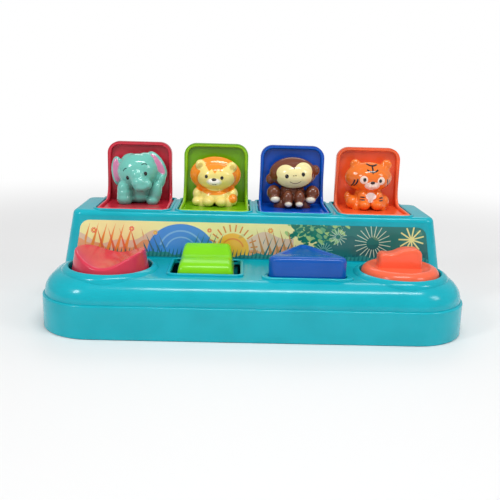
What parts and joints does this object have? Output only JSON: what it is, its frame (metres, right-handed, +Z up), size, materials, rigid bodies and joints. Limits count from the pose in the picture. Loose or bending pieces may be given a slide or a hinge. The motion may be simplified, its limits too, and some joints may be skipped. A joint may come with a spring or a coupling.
{
  "type": "pop up animal toy",
  "caption": "Pop-up toy with animal figures in spring-loaded hutches, each freed by a rocker, slide, push or twist control.",
  "frame": {"origin": "centre of the footprint on the ground plane under the lower case", "axes": "+X along the row of hutches, rocker to knob; +Y from the controls to the hutches; +Z up"},
  "size_m": [0.339, 0.158, 0.138],
  "materials": {
    "case_teal": "glossy teal moulded plastic",
    "label_print": "printed picture label under a clear gloss film",
    "red_plastic": "glossy red moulded plastic",
    "green_plastic": "glossy lime green moulded plastic",
    "blue_plastic": "glossy blue moulded plastic",
    "orange_plastic": "glossy orange moulded plastic",
    "coral_plastic": "glossy coral moulded plastic",
    "mint_figure": "glossy mint moulded plastic, painted details",
    "lion_figure": "glossy moulded plastic, orange mane, painted face",
    "monkey_figure": "glossy brown moulded plastic, cream painted face",
    "tiger_figure": "glossy orange moulded plastic, painted stripes and face",
    "steel": "plated steel rod and screws",
    "spring_steel": "bright spring wire",
    "inner_plastic": "natural white moulded plastic"
  },
  "bodies": {
    "case": {"upper_case": "case_teal", "lower_case": "case_teal", "case_screws": "steel", "hinge_rod": "steel", "rod_clamps": "inner_plastic", "clamp_screws": "steel", "face_label": "label_print", "rocker_axle": "steel", "latch_screws": "steel", "red_hutch_spring": "spring_steel", "red_latch_spring": "spring_steel", "green_hutch_spring": "spring_steel", "green_latch_spring": "spring_steel", "blue_hutch_spring": "spring_steel", "blue_latch_spring": "spring_steel", "orange_hutch_spring": "spring_steel", "orange_latch_spring": "spring_steel", "rocker_spring_left": "spring_steel", "rocker_spring_right": "spring_steel", "slide_spring_left": "spring_steel", "slide_spring_right": "spring_steel", "button_spring_left": "spring_steel", "button_spring_right": "spring_steel", "knob_spring": "spring_steel"},
    "red_flap": {"red_hutch": "red_plastic", "red_figure_screws": "steel", "elephant": "mint_figure"},
    "green_flap": {"green_hutch": "green_plastic", "green_figure_screws": "steel", "lion": "lion_figure"},
    "blue_flap": {"blue_hutch": "blue_plastic", "blue_figure_screws": "steel", "monkey": "monkey_figure"},
    "orange_flap": {"orange_hutch": "orange_plastic", "orange_figure_screws": "steel", "tiger": "tiger_figure"},
    "rocker": {"rocker_button": "red_plastic"},
    "slider": {"slide_block": "green_plastic", "slide_carriage": "inner_plastic", "slide_screws": "steel"},
    "button": {"push_button": "blue_plastic"},
    "knob": {"twist_knob": "coral_plastic", "knob_crank": "inner_plastic", "knob_screw": "steel"},
    "red_catch": {"red_latch": "inner_plastic"},
    "green_catch": {"green_latch": "inner_plastic"},
    "blue_catch": {"blue_latch": "inner_plastic"},
    "orange_catch": {"orange_latch": "inner_plastic"}
  },
  "joints": [
    {"name": "red_hutch_hinge", "type": "hinge", "parent": "case", "child": "red_flap", "pos_m": [-0.105, 0.065, 0.081], "axis": [1, 0, 0], "range_deg": [0, 90], "stiffness_Nm_per_rad": 0.02, "springref_deg": -34.38, "deforming": ["red_hutch_spring"]},
    {"name": "green_hutch_hinge", "type": "hinge", "parent": "case", "child": "green_flap", "pos_m": [-0.035, 0.065, 0.081], "axis": [1, 0, 0], "range_deg": [0, 90], "stiffness_Nm_per_rad": 0.02, "springref_deg": -34.38, "deforming": ["green_hutch_spring"]},
    {"name": "blue_hutch_hinge", "type": "hinge", "parent": "case", "child": "blue_flap", "pos_m": [0.035, 0.065, 0.081], "axis": [1, 0, 0], "range_deg": [0, 90], "stiffness_Nm_per_rad": 0.02, "springref_deg": -34.38, "deforming": ["blue_hutch_spring"]},
    {"name": "orange_hutch_hinge", "type": "hinge", "parent": "case", "child": "orange_flap", "pos_m": [0.105, 0.065, 0.081], "axis": [1, 0, 0], "range_deg": [0, 90], "stiffness_Nm_per_rad": 0.02, "springref_deg": -34.38, "deforming": ["orange_hutch_spring"]},
    {"name": "rocker_tilt", "type": "hinge", "parent": "case", "child": "rocker", "pos_m": [-0.1162, -0.0313, 0.036], "axis": [0, 1, 0], "range_deg": [-7, 7], "stiffness_Nm_per_rad": 0.6, "deforming": ["rocker_spring_left", "rocker_spring_right"]},
    {"name": "block_slide", "type": "slide", "parent": "case", "child": "slider", "axis": [1, 0, 0], "range_m": [-0.0045, 0.0045], "stiffness_N_per_m": 300, "deforming": ["slide_spring_left", "slide_spring_right"]},
    {"name": "button_press", "type": "slide", "parent": "case", "child": "button", "axis": [0, 0, -1], "range_m": [0, 0.005], "stiffness_N_per_m": 300, "springref_m": -0.003, "deforming": ["button_spring_left", "button_spring_right"]},
    {"name": "knob_twist", "type": "hinge", "parent": "case", "child": "knob", "pos_m": [0.119, -0.0313, 0.045], "axis": [0, 0, 1], "range_deg": [-30, 30], "stiffness_Nm_per_rad": 0.12, "deforming": ["knob_spring"]},
    {"name": "red_latch_swing", "type": "hinge", "parent": "case", "child": "red_catch", "pos_m": [-0.105, 0.005, 0.0185], "axis": [0, 0, 1], "range_deg": [-4, 4], "deforming": ["red_latch_spring"]},
    {"name": "green_latch_swing", "type": "hinge", "parent": "case", "child": "green_catch", "pos_m": [-0.035, 0.005, 0.0185], "axis": [0, 0, 1], "range_deg": [-8, 8], "deforming": ["green_latch_spring"]},
    {"name": "blue_latch_swing", "type": "hinge", "parent": "case", "child": "blue_catch", "pos_m": [0.035, 0.005, 0.0185], "axis": [0, 0, 1], "range_deg": [-0.5, 5], "deforming": ["blue_latch_spring"]},
    {"name": "orange_latch_swing", "type": "hinge", "parent": "case", "child": "orange_catch", "pos_m": [0.105, 0.005, 0.0185], "axis": [0, 0, 1], "range_deg": [-4.5, 4.5], "deforming": ["orange_latch_spring"]}
  ],
  "couplings": [
    {"joint": "red_latch_swing", "follows": "rocker_tilt", "ratio": -0.5},
    {"joint": "green_latch_swing", "follows": "block_slide", "rad_per_m": 28.571},
    {"joint": "blue_latch_swing", "follows": "button_press", "rad_per_m": 15.714},
    {"joint": "orange_latch_swing", "follows": "knob_twist", "ratio": -0.132}
  ]
}
